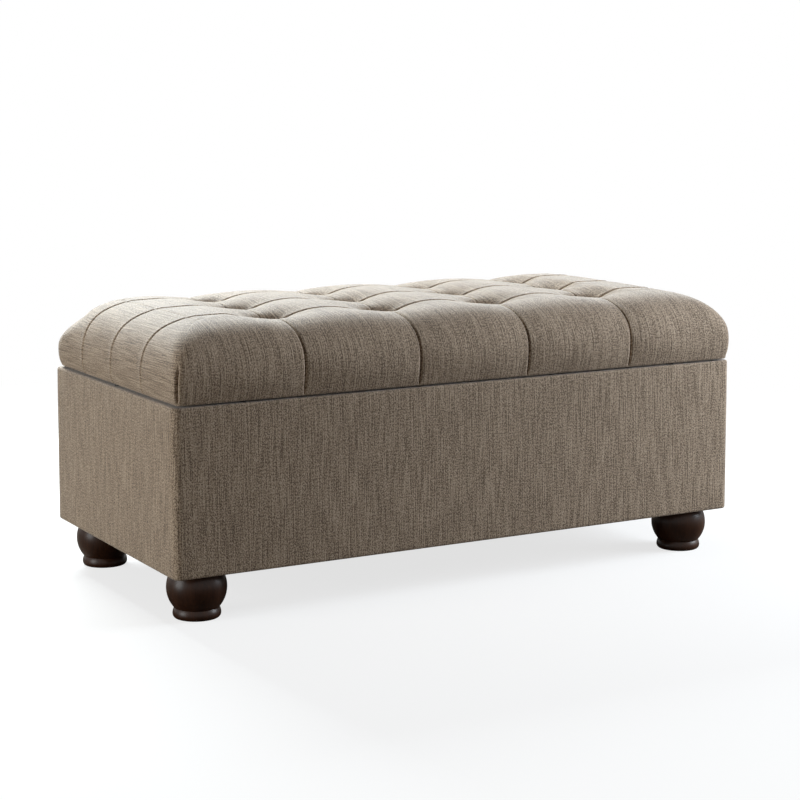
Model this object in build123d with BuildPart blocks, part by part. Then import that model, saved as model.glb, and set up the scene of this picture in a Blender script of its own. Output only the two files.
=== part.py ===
"""Upholstered storage bench: a boarded box on four bun feet, with a tufted lift-up lid.

Millimetres, +Z up, X along the bench, the front faces -Y, and the origin is on the floor
under the middle of the bench.
"""

import os
from math import cos, radians, sin, sqrt

from build123d import *

os.makedirs("parts", exist_ok=True)

# Overall sizes, measured over the fabric
box_length = 1046.0
box_depth = 508.0
box_height = 262.0
foot_height = 74.0
lid_gap = 4.0
lid_height = 116.0

# Box boards, wadding and cover
panel_thickness = 15.0
padding_thickness = 5.0
cover_thickness = 1.2
lining_thickness = 1.0
dust_cover_thickness = 0.8
floor_thickness = 9.0
box_corner_radius = 14.0
panel_corner_radius = 4.0
box_edge_radius = 4.0
hem_width = 30.0
sheet_clearance = 0.3

# Inner frame of the box
post_leg = 40.0
block_size = 92.0
block_height = 25.0
cleat_width = 20.0

# Bun feet: a ball on a rounded base disc
foot_inset = 61.0
ball_radius = 47.0
ball_height = 47.0
neck_height = 15.5
base_radius = 37.5
base_edge = 3.0
base_widest = 6.0

# Bolt and tee nut of a foot
bolt_radius = 4.0
bolt_in_foot = 38.0
bolt_clearance = 0.05
nut_flange_radius = 11.0
nut_flange_thickness = 1.5
nut_barrel_radius = 5.5
nut_barrel_length = 14.0

# Countersunk wood screws
screw_head_radius = 3.2
screw_head_height = 1.4
screw_shank_radius = 1.7
screw_clearance = 0.05
hinge_screw_length = 13.0
panel_screw_length = 40.0
panel_screw_pitch = 80.0
panel_screw_rows = 3

# Lid board, pad and cover
board_thickness = 15.0
board_inset = 10.0
board_corner_radius = 10.0
lid_cover_thickness = 2.0
lid_lining_thickness = 1.0
lid_bulge = 5.0
lid_draw_in = 3.0
lid_widest_height = 34.0
lid_corner_radius = 18.0
shoulder_turn = 60.0
end_crown_inset = 108.0
front_crown_inset = 80.0
outer_crown_drop = 4.0
pleat_depth = 7.0
pleat_groove = 3.5
crease_width = 3.0
crease_depth = 4.5
crease_start = 1.0
plan_crown = 2.0
column_crown_rise = 1.5
soft_clearance = 0.3

# Tufts: columns along the bench, rows from front to back
tuft_columns = 4
tuft_rows = 3
tuft_pitch_x = 204.0
tuft_pitch_y = 125.0
tuft_depth = 38.0
tuft_throat_radius = 4.0
tuft_throat_height = 2.0
tuft_mouth_radius = 58.0
tuft_mouth_rise = 3.0
twine_radius = 1.2
anchor_radius = 12.0
anchor_thickness = 2.0
anchor_recess = 3.0
anchor_clearance = 0.3

# Butt hinges along the back
hinge_inset = 170.0
hinge_length = 64.0
hinge_knuckles = 5
knuckle_radius = 3.0
knuckle_gap = 0.4
hinge_pin_radius = 1.5
hinge_pin_clearance = 0.05
hinge_pin_head_radius = 2.4
hinge_pin_head = 1.0
leaf_thickness = 1.4
leaf_width = 22.0
leaf_screws = 3
leaf_screw_pitch = 22.0
hinge_clearance = 0.3

# Rubber bumpers on the rim
bumper_radius = 6.0
bumper_inset = 120.0

# Lid stays: a parallel linkage at each end of the box
stay_pivot_drop = 95.0
stay_reach = 150.0
stay_lid_drop = 16.0
stay_plate = 2.5
stay_gap = 0.4
lever_width = 15.0
link_width = 12.0
housing_depth = 14.0
housing_radius = 21.0
housing_foot_width = 22.0
housing_foot_height = 74.0
housing_clearance = 4.0
housing_foot_depth = 3.0
housing_foot_round = 7.0
housing_screw_pitch = 58.0
shaft_radius = 5.0
rivet_radius = 3.0
rivet_head_radius = 4.6
rivet_head = 1.2
pivot_clearance = 0.08
bracket_width = 22.0
bracket_length = 34.0
bracket_screw_pitch = 22.0
bracket_screw_offset = 10.0
stay_screw_length = 14.0

# Levels from the floor up
box_bottom = foot_height
panel_bottom = box_bottom + cover_thickness
floor_bottom = panel_bottom + block_height
floor_top = floor_bottom + floor_thickness
box_rim = box_bottom + box_height
panel_top = box_rim - cover_thickness
lid_underside = box_rim + lid_gap
board_bottom = lid_underside + lid_cover_thickness
board_top = board_bottom + board_thickness
lid_lining_bottom = board_bottom - lid_lining_thickness
lid_top = lid_underside + lid_height
tuft_bottom = lid_top - tuft_depth
panel_height = panel_top - panel_bottom

# Half sizes in plan, from the fabric inwards
half_length = box_length / 2
half_depth = box_depth / 2
wrap = cover_thickness + padding_thickness
panel_half_length = half_length - wrap
panel_half_depth = half_depth - wrap
inner_half_length = panel_half_length - panel_thickness
inner_half_depth = panel_half_depth - panel_thickness
lined_half_length = inner_half_length - lining_thickness

# Hinge axis
hinge_y = half_depth + knuckle_radius + hinge_clearance
hinge_z = box_rim + lid_gap / 2

# Stay pivots: on the box wall, on the lid and between lever and link
wall_pivot = (
    inner_half_depth - post_leg - housing_clearance - housing_radius,
    hinge_z - stay_pivot_drop,
)
lid_pivot = (hinge_y - stay_reach, hinge_z - stay_lid_drop)
link_pivot = (wall_pivot[0] - stay_reach, wall_pivot[1] - stay_lid_drop)

sides = (("left", -1), ("right", 1))
faces = (("front", -1), ("back", 1))
corners = [(f"{face}_{side}", sx, sy) for face, sy in faces for side, sx in sides]


def write(piece, name):
    """Label a finished piece and write it to its own file."""
    piece.part.label = name
    export_step(piece.part, f"parts/{name}.step")


def countersunk_screw(length, clearance=0.0):
    """A countersunk screw with its head flush at Z = 0, pointing down; grown by a clearance for its hole."""
    head = screw_head_radius + clearance
    shank = screw_shank_radius + clearance
    with BuildPart() as screw:
        with BuildSketch(Plane.XZ):
            with BuildLine():
                Polyline(
                    (0, 0),
                    (head, 0),
                    (shank, -screw_head_height),
                    (shank, -length - clearance),
                    (0, -length - clearance),
                    close=True,
                )
            make_face()
        revolve(axis=Axis.Z)
    return screw.part


def wrapped_box(inset):
    """The rounded outer form of the covered box, drawn in by an inset."""
    with BuildPart() as form:
        with BuildSketch(Plane.XY.offset(box_bottom + inset)):
            RectangleRounded(
                box_length - 2 * inset,
                box_depth - 2 * inset,
                box_corner_radius - inset,
            )
        extrude(amount=box_height - 2 * inset)
        rims = form.faces().filter_by(Axis.Z).edges()
        fillet(rims, radius=box_edge_radius - inset)
    return form.part


def storage_outline():
    """The plan of the storage space, with its corners cut off by the posts."""
    outline = Rectangle(2 * inner_half_length, 2 * inner_half_depth)
    chamfer(outline.vertices(), length=post_leg)


# Screws and the holes they take
hinge_screw = countersunk_screw(hinge_screw_length)
hinge_screw_hole = countersunk_screw(hinge_screw_length, screw_clearance)
panel_screw = countersunk_screw(panel_screw_length)
panel_screw_hole = countersunk_screw(panel_screw_length, screw_clearance)
stay_screw = countersunk_screw(stay_screw_length)
stay_screw_hole = countersunk_screw(stay_screw_length, screw_clearance)

# Where the screws go; each place also turns the screw into its board
hinge_centres = [side * (half_length - hinge_inset) for _, side in sides]
leaf_screw_y = panel_half_depth - panel_thickness / 2
leaf_screw_x = [
    centre + (number - (leaf_screws - 1) / 2) * leaf_screw_pitch
    for centre in hinge_centres
    for number in range(leaf_screws)
]
hinge_box_screws = [Location((x, leaf_screw_y, box_rim + leaf_thickness)) for x in leaf_screw_x]
hinge_lid_screws = [
    Location((x, leaf_screw_y, lid_underside - leaf_thickness), (180, 0, 0)) for x in leaf_screw_x
]
end_panel_middle = inner_half_length + panel_thickness / 2
panel_middle = (panel_bottom + panel_top) / 2
panel_screw_places = {
    face: [
        Location(
            (
                side * end_panel_middle,
                sy * panel_half_depth,
                panel_middle + (row - (panel_screw_rows - 1) / 2) * panel_screw_pitch,
            ),
            (-sy * 90, 0, 0),
        )
        for _, side in sides
        for row in range(panel_screw_rows)
    ]
    for face, sy in faces
}
housing_screws = {
    name: [
        Location(
            (
                side * (lined_half_length - housing_foot_depth),
                wall_pivot[0],
                wall_pivot[1] + step * housing_screw_pitch / 2,
            ),
            (0, -side * 90, 0),
        )
        for step in (-1, 1)
    ]
    for name, side in sides
}
ear_outer = lined_half_length - housing_depth - 2 * stay_plate - 3 * stay_gap
ear_inner = ear_outer - stay_plate
bracket_screws = {
    name: [
        Location(
            (
                side * (ear_inner - bracket_screw_offset),
                lid_pivot[0] + step * bracket_screw_pitch / 2,
                lid_lining_bottom - stay_plate,
            ),
            (180, 0, 0),
        )
        for step in (-1, 1)
    ]
    for name, side in sides
}
foot_places = [(sx * (half_length - foot_inset), sy * (half_depth - foot_inset)) for _, sx, sy in corners]

# Front and back boards, over the ends of the end boards
for face, sy in faces:
    with BuildPart() as long_panel:
        with BuildSketch(Plane.XY.offset(panel_bottom)):
            with Locations((0, sy * (panel_half_depth - panel_thickness / 2))):
                board = Rectangle(2 * panel_half_length, panel_thickness)
            outer_corners = board.vertices().group_by(Axis.Y)[0 if sy < 0 else -1]
            fillet(outer_corners, radius=panel_corner_radius)
        extrude(amount=panel_height)
        with Locations(*panel_screw_places[face]):
            add(panel_screw_hole, mode=Mode.SUBTRACT)
        if face == "back":
            with Locations(*hinge_box_screws):
                add(hinge_screw_hole, mode=Mode.SUBTRACT)
    write(long_panel, f"box_{face}_panel")

# End boards, between the front and back boards
for name, side in sides:
    with BuildPart() as end_panel:
        with BuildSketch(Plane.XY.offset(panel_bottom)):
            with Locations((side * end_panel_middle, 0)):
                Rectangle(panel_thickness, 2 * inner_half_depth)
        extrude(amount=panel_height)
        for face, _ in faces:
            with Locations(*panel_screw_places[face]):
                add(panel_screw_hole, mode=Mode.SUBTRACT)
        with Locations(*housing_screws[name]):
            add(stay_screw_hole, mode=Mode.SUBTRACT)
    write(end_panel, f"box_{name}_panel")

with BuildPart() as panel_screws:
    for face, _ in faces:
        with Locations(*panel_screw_places[face]):
            add(panel_screw)
write(panel_screws, "panel_screws")

# Floor of the storage space
with BuildPart() as floor_panel:
    with BuildSketch(Plane.XY.offset(floor_bottom)):
        Rectangle(2 * inner_half_length, 2 * inner_half_depth)
    extrude(amount=floor_thickness)
write(floor_panel, "box_floor_panel")

# Corner posts
for corner, sx, sy in corners:
    post_x = sx * inner_half_length
    post_y = sy * inner_half_depth
    with BuildPart() as post:
        with BuildSketch(Plane.XY.offset(floor_top)):
            with BuildLine():
                Polyline(
                    (post_x, post_y),
                    (post_x - sx * post_leg, post_y),
                    (post_x, post_y - sy * post_leg),
                    close=True,
                )
            make_face()
        extrude(amount=panel_top - floor_top)
    write(post, f"corner_post_{corner}")

# Blocks that take the feet, with a stepped hole for the tee nut
block_middle_x = inner_half_length - block_size / 2
block_middle_y = inner_half_depth - block_size / 2
for corner, sx, sy in corners:
    with BuildPart() as block:
        with BuildSketch(Plane.XY.offset(panel_bottom)):
            with Locations((sx * block_middle_x, sy * block_middle_y)):
                Rectangle(block_size, block_size)
        extrude(amount=block_height)
        with Locations((sx * (half_length - foot_inset), sy * (half_depth - foot_inset), floor_bottom)):
            CounterBoreHole(
                nut_barrel_radius + bolt_clearance,
                nut_flange_radius + sheet_clearance,
                nut_flange_thickness,
                block_height,
            )
    write(block, f"foot_block_{corner}")

# Cleats that carry the floor between the blocks
for face, sy in faces:
    with BuildPart() as cleat:
        with BuildSketch(Plane.XY.offset(panel_bottom)):
            with Locations((0, sy * (inner_half_depth - cleat_width / 2))):
                Rectangle(2 * (inner_half_length - block_size), cleat_width)
        extrude(amount=block_height)
    write(cleat, f"floor_cleat_{face}")

# Turned feet
top_radius = sqrt(ball_radius**2 - (foot_height - ball_height) ** 2)
neck_radius = sqrt(ball_radius**2 - (ball_height - neck_height) ** 2)
for (corner, _, _), place in zip(corners, foot_places):
    with BuildPart() as foot:
        with BuildSketch(Plane.XZ.offset(-place[1])):
            with BuildLine():
                bottom = Line((0, 0), (base_radius - base_edge, 0))
                TangentArc((base_radius, base_widest), bottom @ 1, tangent=(0, -1))
                TangentArc((base_radius, base_widest), (neck_radius, neck_height), tangent=(0, 1))
                ThreePointArc(
                    (neck_radius, neck_height),
                    (ball_radius, ball_height),
                    (top_radius, foot_height),
                )
                Polyline((top_radius, foot_height), (0, foot_height), (0, 0))
            make_face()
        revolve(axis=Axis((0, place[1], 0), (0, 0, 1)))
        with Locations((0, place[1], foot_height)):
            Hole(bolt_radius + bolt_clearance, bolt_in_foot + bolt_clearance)
    foot.part = foot.part.moved(Location((place[0], 0, 0)))
    write(foot, f"foot_{corner}")

with BuildPart() as hanger_bolts:
    with BuildSketch(Plane.XY.offset(foot_height - bolt_in_foot)):
        with Locations(*foot_places):
            Circle(bolt_radius)
    extrude(amount=bolt_in_foot + cover_thickness + block_height - nut_flange_thickness)
write(hanger_bolts, "hanger_bolts")

with BuildPart() as tee_nuts:
    with BuildSketch(Plane.XY.offset(floor_bottom)):
        with Locations(*foot_places):
            Circle(nut_flange_radius)
    extrude(amount=-nut_flange_thickness)
    with BuildSketch(Plane.XY.offset(floor_bottom - nut_flange_thickness)):
        with Locations(*foot_places):
            Circle(nut_barrel_radius)
    extrude(amount=-nut_barrel_length)
    with BuildSketch(Plane.XY.offset(floor_bottom)):
        with Locations(*foot_places):
            Circle(bolt_radius + bolt_clearance)
    extrude(amount=-nut_flange_thickness - nut_barrel_length, mode=Mode.SUBTRACT)
write(tee_nuts, "tee_nuts")

# Wadding and cover of the box
cover_form = wrapped_box(0)
padding_form = wrapped_box(cover_thickness)

with BuildPart() as box_padding:
    add(padding_form)
    with BuildSketch(Plane.XY.offset(box_bottom)):
        RectangleRounded(2 * panel_half_length, 2 * panel_half_depth, panel_corner_radius)
    extrude(amount=box_height, mode=Mode.SUBTRACT)
write(box_padding, "box_padding")

with BuildPart() as box_cover:
    add(cover_form)
    add(padding_form, mode=Mode.SUBTRACT)
    with BuildSketch(Plane.XY.offset(box_rim)):
        storage_outline()
    extrude(amount=-box_height / 2, mode=Mode.SUBTRACT)
    with BuildSketch(Plane.XY.offset(box_bottom)):
        Rectangle(box_length - 2 * hem_width, box_depth - 2 * hem_width)
    extrude(amount=box_height / 2, mode=Mode.SUBTRACT)
    with Locations(*hinge_box_screws):
        add(hinge_screw_hole, mode=Mode.SUBTRACT)
write(box_cover, "box_cover")

# Lining of the storage space, an open tray
with BuildPart() as storage_lining:
    with BuildSketch(Plane.XY.offset(floor_top)):
        storage_outline()
    extrude(amount=box_rim - floor_top)
    offset(amount=-lining_thickness, openings=storage_lining.faces().sort_by(Axis.Z)[-1])
    for name, _ in sides:
        with Locations(*housing_screws[name]):
            add(stay_screw_hole, mode=Mode.SUBTRACT)
write(storage_lining, "storage_lining")

# Dust cover inside the bottom hem
with BuildPart() as dust_cover:
    with BuildSketch(Plane.XY.offset(panel_bottom - dust_cover_thickness)):
        Rectangle(
            box_length - 2 * (hem_width + sheet_clearance),
            box_depth - 2 * (hem_width + sheet_clearance),
        )
        with Locations(*foot_places):
            Circle(bolt_radius + sheet_clearance, mode=Mode.SUBTRACT)
    extrude(amount=dust_cover_thickness)
write(dust_cover, "dust_cover")

# Bumpers on the middle of the front and end boards
bumper_places = [(side * (half_length - bumper_inset), -leaf_screw_y) for _, side in sides]
bumper_places += [(side * end_panel_middle, 0) for _, side in sides]
with BuildPart() as lid_bumpers:
    with BuildSketch(Plane.XY.offset(box_rim)):
        with Locations(*bumper_places):
            Circle(bumper_radius)
    extrude(amount=lid_gap)
write(lid_bumpers, "lid_bumpers")


def tufted_profile(plane, half_width, tufts, pitch, crown_inset, crown, inset):
    """One upright section of the pad: drawn-in sides, round shoulders and a crown in pillows."""
    wide = half_width + lid_bulge - inset
    narrow = half_width - lid_draw_in - inset
    low = lid_underside + inset
    widest = lid_underside + lid_widest_height
    top = crown - inset
    valley = top - pleat_depth
    outer_top = top - outer_crown_drop
    turn_sin = sin(radians(shoulder_turn))
    turn_cos = cos(radians(shoulder_turn))
    rise = outer_top - widest
    shoulder = (crown_inset * (1 - turn_sin) - rise * turn_cos) / (
        (1 - turn_cos) * (1 - turn_sin) - turn_sin * turn_cos
    )
    shoulder_x = wide - shoulder * (1 - turn_cos)
    shoulder_z = widest + shoulder * turn_sin
    crown_x = wide - crown_inset
    valleys = [pitch * ((tufts - 1) / 2 - tuft) for tuft in range(tufts)]
    with BuildSketch(plane) as profile:
        with BuildLine():
            Line((-narrow, low), (narrow, low))
            for side in (1, -1):
                TangentArc((side * wide, widest), (side * narrow, low), tangent=(0, -1))
                TangentArc((side * wide, widest), (side * shoulder_x, shoulder_z), tangent=(0, 1))
                TangentArc(
                    (side * shoulder_x, shoulder_z),
                    (side * crown_x, outer_top),
                    tangent=(-side * turn_sin, turn_cos),
                )
                TangentArc((side * crown_x, outer_top), (side * valleys[0], valley), tangent=(-side, 0))
            for start, end in zip(valleys, valleys[1:]):
                ThreePointArc((start, valley), ((start + end) / 2, top), (end, valley))
        make_face()
    return profile.sketch


def scallops(tufts, pitch, corner_run, reach):
    """The runs of one side of the pad: start, middle and end of each pillow, as (along, out)."""
    stations = [(-corner_run, reach)]
    stations += [(pitch * (tuft - (tufts - 1) / 2), reach - pleat_groove) for tuft in range(tufts)]
    stations += [(corner_run, reach)]
    return [
        (start, ((start[0] + end[0]) / 2, reach + plan_crown), end)
        for start, end in zip(stations, stations[1:])
    ]


def scalloped_plan(inset):
    """The plan of the pad: a pillow between each two pleats, and round corners."""
    corner_x = half_length + lid_bulge - inset
    corner_y = half_depth + lid_bulge - inset
    with BuildSketch(Plane.XY.offset(lid_underside)) as plan:
        with BuildLine():
            for sign in (1, -1):
                for run in scallops(tuft_columns, tuft_pitch_x, corner_x, corner_y):
                    ThreePointArc(*[(along, sign * out) for along, out in run])
                for run in scallops(tuft_rows, tuft_pitch_y, corner_y, corner_x):
                    ThreePointArc(*[(sign * out, along) for along, out in run])
        make_face()
        tips = [
            tip
            for tip in plan.vertices()
            if abs(tip.X) > half_length - hem_width and abs(tip.Y) > half_depth - hem_width
        ]
        fillet(tips, radius=lid_corner_radius - inset)
    return plan.sketch


def tuft_hollow(inset):
    """The trumpet-shaped hollow of one tuft about the Z axis, grown by an inset."""
    throat = tuft_throat_radius + inset
    mouth_top = lid_top + tuft_mouth_rise - inset
    with BuildPart() as hollow:
        with BuildSketch(Plane.XZ):
            with BuildLine():
                flare = TangentArc(
                    (tuft_mouth_radius, mouth_top),
                    (throat, tuft_bottom + tuft_throat_height),
                    tangent=(-1, 0),
                )
                Polyline(
                    flare @ 1,
                    (throat, tuft_bottom - inset),
                    (0, tuft_bottom - inset),
                    (0, mouth_top),
                    flare @ 0,
                )
            make_face()
        revolve(axis=Axis.Z)
    return hollow.part


def crease(plane, half_width, tufts, pitch, crown_inset, crown, inset):
    """The narrow cut of one pleat, which follows a section of the pad from hem to hem."""
    outside = tufted_profile(plane, half_width, tufts, pitch, crown_inset, crown, inset - crease_width)
    bottom = tufted_profile(plane, half_width, tufts, pitch, crown_inset, crown, inset + crease_depth)
    half_cut = crease_width / 2 + inset
    start = lid_underside + crease_depth + 2 * (lid_cover_thickness + soft_clearance) + crease_start - inset
    with BuildPart() as cut:
        extrude(outside, amount=half_cut, both=True)
        extrude(bottom, amount=half_cut, both=True, mode=Mode.SUBTRACT)
        with BuildSketch(Plane.XY.offset(start)):
            Rectangle(2 * box_length, 2 * box_length)
        extrude(amount=-lid_height, mode=Mode.SUBTRACT)
    return cut.part


def tufted_pad(inset):
    """The whole pad form with its channels and tufts, drawn in by an inset."""
    column_crown = lid_top + column_crown_rise
    columns = (half_length, tuft_columns, tuft_pitch_x, end_crown_inset, column_crown, inset)
    rows = (half_depth, tuft_rows, tuft_pitch_y, front_crown_inset, lid_top, inset)
    plan = scalloped_plan(inset)
    lengthwise = tufted_profile(Plane.XZ, *columns)
    crosswise = tufted_profile(Plane.YZ, *rows)
    row_crease = crease(Plane.XZ, *columns)
    column_crease = crease(Plane.YZ, *rows)
    hollow = tuft_hollow(inset)
    with BuildPart() as form:
        extrude(plan, amount=2 * lid_height)
        extrude(lengthwise, amount=box_depth, both=True, mode=Mode.INTERSECT)
        extrude(crosswise, amount=box_length, both=True, mode=Mode.INTERSECT)
        with GridLocations(tuft_pitch_x, tuft_pitch_y, tuft_columns, 1):
            add(column_crease, mode=Mode.SUBTRACT)
        with GridLocations(tuft_pitch_x, tuft_pitch_y, 1, tuft_rows):
            add(row_crease, mode=Mode.SUBTRACT)
        with GridLocations(tuft_pitch_x, tuft_pitch_y, tuft_columns, tuft_rows):
            add(hollow, mode=Mode.SUBTRACT)
    return form.part


# Lid board with a hole and a recess for each tuft
board_length = box_length - 2 * board_inset
board_depth = box_depth - 2 * board_inset
with BuildPart() as lid_board:
    with BuildSketch(Plane.XY.offset(board_bottom)):
        RectangleRounded(board_length, board_depth, board_corner_radius)
        with GridLocations(tuft_pitch_x, tuft_pitch_y, tuft_columns, tuft_rows):
            Circle(twine_radius + anchor_clearance, mode=Mode.SUBTRACT)
    extrude(amount=board_thickness)
    with BuildSketch(Plane.XY.offset(board_bottom)):
        with GridLocations(tuft_pitch_x, tuft_pitch_y, tuft_columns, tuft_rows):
            Circle(anchor_radius + anchor_clearance)
    extrude(amount=anchor_recess, mode=Mode.SUBTRACT)
    with Locations(*hinge_lid_screws):
        add(hinge_screw_hole, mode=Mode.SUBTRACT)
    for name, _ in sides:
        with Locations(*bracket_screws[name]):
            add(stay_screw_hole, mode=Mode.SUBTRACT)
write(lid_board, "lid_board")

# Foam, lapped round the edges of the board
foam_form = tufted_pad(lid_cover_thickness + soft_clearance)
with BuildPart() as lid_foam:
    add(foam_form)
    with BuildSketch(Plane.XY.offset(lid_underside)):
        RectangleRounded(
            board_length + 2 * soft_clearance,
            board_depth + 2 * soft_clearance,
            board_corner_radius + soft_clearance,
        )
    extrude(amount=board_top - lid_underside, mode=Mode.SUBTRACT)
    with BuildSketch(Plane.XY.offset(board_top)):
        with GridLocations(tuft_pitch_x, tuft_pitch_y, tuft_columns, tuft_rows):
            Circle(twine_radius + soft_clearance)
    extrude(amount=lid_height, mode=Mode.SUBTRACT)
write(lid_foam, "lid_foam")

# Cover, turned under the board as a hem
cover_outside = tufted_pad(0)
cover_inside = tufted_pad(lid_cover_thickness)
with BuildPart() as lid_cover:
    add(cover_outside)
    add(cover_inside, mode=Mode.SUBTRACT)
    with BuildSketch(Plane.XY.offset(lid_underside)):
        Rectangle(box_length - 2 * hem_width, box_depth - 2 * hem_width)
    extrude(amount=2 * lid_cover_thickness, mode=Mode.SUBTRACT)
    with Locations(*hinge_lid_screws):
        add(hinge_screw_hole, mode=Mode.SUBTRACT)
write(lid_cover, "lid_cover")

# Twines that hold the tufts down, and their anchor discs
anchor_top = board_bottom + anchor_recess
with BuildPart() as tuft_twines:
    with BuildSketch(Plane.XY.offset(anchor_top)):
        with GridLocations(tuft_pitch_x, tuft_pitch_y, tuft_columns, tuft_rows):
            Circle(twine_radius)
    extrude(amount=tuft_bottom - lid_cover_thickness - anchor_top)
write(tuft_twines, "tuft_twines")

with BuildPart() as tuft_anchors:
    with BuildSketch(Plane.XY.offset(anchor_top)):
        with GridLocations(tuft_pitch_x, tuft_pitch_y, tuft_columns, tuft_rows):
            Circle(anchor_radius)
    extrude(amount=-anchor_thickness)
write(tuft_anchors, "tuft_anchors")

# Lining under the board, inside the hem
with BuildPart() as lid_lining:
    with BuildSketch(Plane.XY.offset(lid_lining_bottom)):
        Rectangle(
            box_length - 2 * (hem_width + sheet_clearance),
            box_depth - 2 * (hem_width + sheet_clearance),
        )
    extrude(amount=lid_lining_thickness)
    for name, _ in sides:
        with Locations(*bracket_screws[name]):
            add(stay_screw_hole, mode=Mode.SUBTRACT)
write(lid_lining, "lid_lining")

# Hinges: each leaf carries every second knuckle
knuckle_pitch = hinge_length / hinge_knuckles
plate_back = hinge_y - knuckle_radius - hinge_clearance


def hinge_leaf(centre, plate_bottom, first_knuckle, holes):
    """One leaf with its plate, its share of the knuckles and its screw holes."""
    plate_middle = plate_bottom + leaf_thickness / 2
    with BuildPart() as leaf:
        with BuildSketch(Plane.XY.offset(plate_bottom)):
            with Locations((centre, plate_back - leaf_width / 2)):
                Rectangle(hinge_length, leaf_width)
        extrude(amount=leaf_thickness)
        for number in range(first_knuckle, hinge_knuckles, 2):
            start = centre - hinge_length / 2 + number * knuckle_pitch + knuckle_gap / 2
            with BuildSketch(Plane.YZ.offset(start)):
                with Locations((hinge_y, hinge_z)):
                    Circle(knuckle_radius)
                with Locations(((plate_back + hinge_y) / 2, plate_middle)):
                    Rectangle(hinge_y - plate_back, leaf_thickness)
            extrude(amount=knuckle_pitch - knuckle_gap)
        with BuildSketch(Plane.YZ.offset(centre - hinge_length / 2)):
            with Locations((hinge_y, hinge_z)):
                Circle(hinge_pin_radius + hinge_pin_clearance)
        extrude(amount=hinge_length, mode=Mode.SUBTRACT)
        with Locations(*holes):
            add(hinge_screw_hole, mode=Mode.SUBTRACT)
    return leaf


for (name, _), centre in zip(sides, hinge_centres):
    box_leaf = hinge_leaf(centre, box_rim, 0, hinge_box_screws)
    write(box_leaf, f"hinge_box_leaf_{name}")
    lid_leaf = hinge_leaf(centre, lid_underside - leaf_thickness, 1, hinge_lid_screws)
    write(lid_leaf, f"hinge_lid_leaf_{name}")
    with BuildPart() as hinge_pin:
        with BuildSketch(Plane.YZ.offset(centre - hinge_length / 2)):
            with Locations((hinge_y, hinge_z)):
                Circle(hinge_pin_radius)
        extrude(amount=hinge_length)
        for end in (-1, 1):
            with BuildSketch(Plane.YZ.offset(centre + end * hinge_length / 2)):
                with Locations((hinge_y, hinge_z)):
                    Circle(hinge_pin_head_radius)
            extrude(amount=end * hinge_pin_head)
    write(hinge_pin, f"hinge_pin_{name}")

with BuildPart() as hinge_screws_box:
    with Locations(*hinge_box_screws):
        add(hinge_screw)
write(hinge_screws_box, "hinge_screws_box")

with BuildPart() as hinge_screws_lid:
    with Locations(*hinge_lid_screws):
        add(hinge_screw)
write(hinge_screws_lid, "hinge_screws_lid")


def disc(plane_x, place, radius, thickness, mode=Mode.ADD):
    """Add or cut a round across the bench at a pivot, from a plane along X."""
    with BuildSketch(Plane.YZ.offset(plane_x)) as outline:
        with Locations(place):
            Circle(radius)
    extrude(outline.sketch, amount=thickness, mode=mode)


def bar(plane_x, start, end, width, thickness):
    """Add a flat bar with round ends between two pivots."""
    with BuildSketch(Plane.YZ.offset(plane_x)) as outline:
        with Locations(start, end):
            Circle(width / 2)
        make_hull()
    extrude(outline.sketch, amount=thickness)


# Lid stays; each layer lies inwards of the one before it
for name, side in sides:
    inwards = -side
    housing_x = side * lined_half_length
    lever_x = housing_x + inwards * (housing_depth + stay_gap)
    link_x = lever_x + inwards * (stay_plate + stay_gap)
    ear_x = link_x + inwards * (stay_plate + stay_gap)

    with BuildPart() as housing:
        with BuildSketch(Plane.YZ.offset(housing_x)):
            with Locations(wall_pivot):
                RectangleRounded(housing_foot_width, housing_foot_height, housing_foot_round)
        extrude(amount=inwards * housing_foot_depth)
        disc(housing_x, wall_pivot, housing_radius, inwards * housing_depth)
        disc(housing_x, wall_pivot, shaft_radius + pivot_clearance, inwards * housing_depth, Mode.SUBTRACT)
        with Locations(*housing_screws[name]):
            add(stay_screw_hole, mode=Mode.SUBTRACT)
    write(housing, f"stay_housing_{name}")

    with BuildPart() as lever:
        bar(lever_x, wall_pivot, link_pivot, lever_width, inwards * stay_plate)
        disc(lever_x, wall_pivot, shaft_radius, inwards * stay_plate, Mode.SUBTRACT)
        disc(lever_x, link_pivot, rivet_radius, inwards * stay_plate, Mode.SUBTRACT)
    write(lever, f"stay_lever_{name}")

    with BuildPart() as shaft:
        disc(housing_x, wall_pivot, shaft_radius, inwards * (housing_depth + stay_gap + stay_plate))
    write(shaft, f"stay_shaft_{name}")

    with BuildPart() as link:
        bar(link_x, link_pivot, lid_pivot, link_width, inwards * stay_plate)
        for pivot in (link_pivot, lid_pivot):
            disc(link_x, pivot, rivet_radius + pivot_clearance, inwards * stay_plate, Mode.SUBTRACT)
    write(link, f"stay_link_{name}")

    with BuildPart() as rivet:
        disc(lever_x, link_pivot, rivet_radius, inwards * 2 * (stay_plate + stay_gap))
        disc(ear_x, link_pivot, rivet_head_radius, inwards * rivet_head)
    write(rivet, f"stay_pivot_{name}")

    with BuildPart() as bracket:
        ear_root = (lid_pivot[0], lid_lining_bottom - bracket_width / 2)
        bar(ear_x, lid_pivot, ear_root, bracket_width, inwards * stay_plate)
        with BuildSketch(Plane.XY.offset(lid_lining_bottom)):
            with Locations((ear_x + inwards * bracket_width / 2, lid_pivot[0])):
                Rectangle(bracket_width, bracket_length)
        extrude(amount=-stay_plate)
        disc(ear_x, lid_pivot, rivet_radius, inwards * stay_plate, Mode.SUBTRACT)
        with Locations(*bracket_screws[name]):
            add(stay_screw_hole, mode=Mode.SUBTRACT)
    write(bracket, f"stay_bracket_{name}")

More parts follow.
